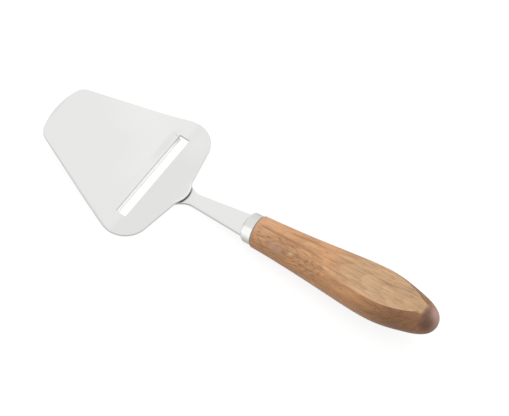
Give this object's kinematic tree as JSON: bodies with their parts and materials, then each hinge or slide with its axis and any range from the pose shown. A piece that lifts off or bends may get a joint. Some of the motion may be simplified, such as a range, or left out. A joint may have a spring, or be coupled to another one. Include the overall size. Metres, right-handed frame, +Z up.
{
  "type": "cheese slicer",
  "caption": "Hand-held cheese slicer: a trapezoid steel plate with a cross slot and pressed cutting lip, on a flat tapered shank set through a steel ferrule into a turned wooden handle.",
  "frame": {"origin": "on the table surface, below the middle of the whole tool as it lies at rest", "axes": "+X along the tool from the slicing plate to the butt of the handle, +Y to the side, +Z up from the table"},
  "size_m": [0.2417, 0.0852, 0.0303],
  "materials": {
    "plate_steel": "satin stainless steel",
    "ferrule_steel": "bright stainless steel",
    "wood": "oiled hardwood"
  },
  "bodies": {
    "root": {"blade": "plate_steel", "ferrule": "ferrule_steel", "handle": "wood"}
  },
  "joints": []
}
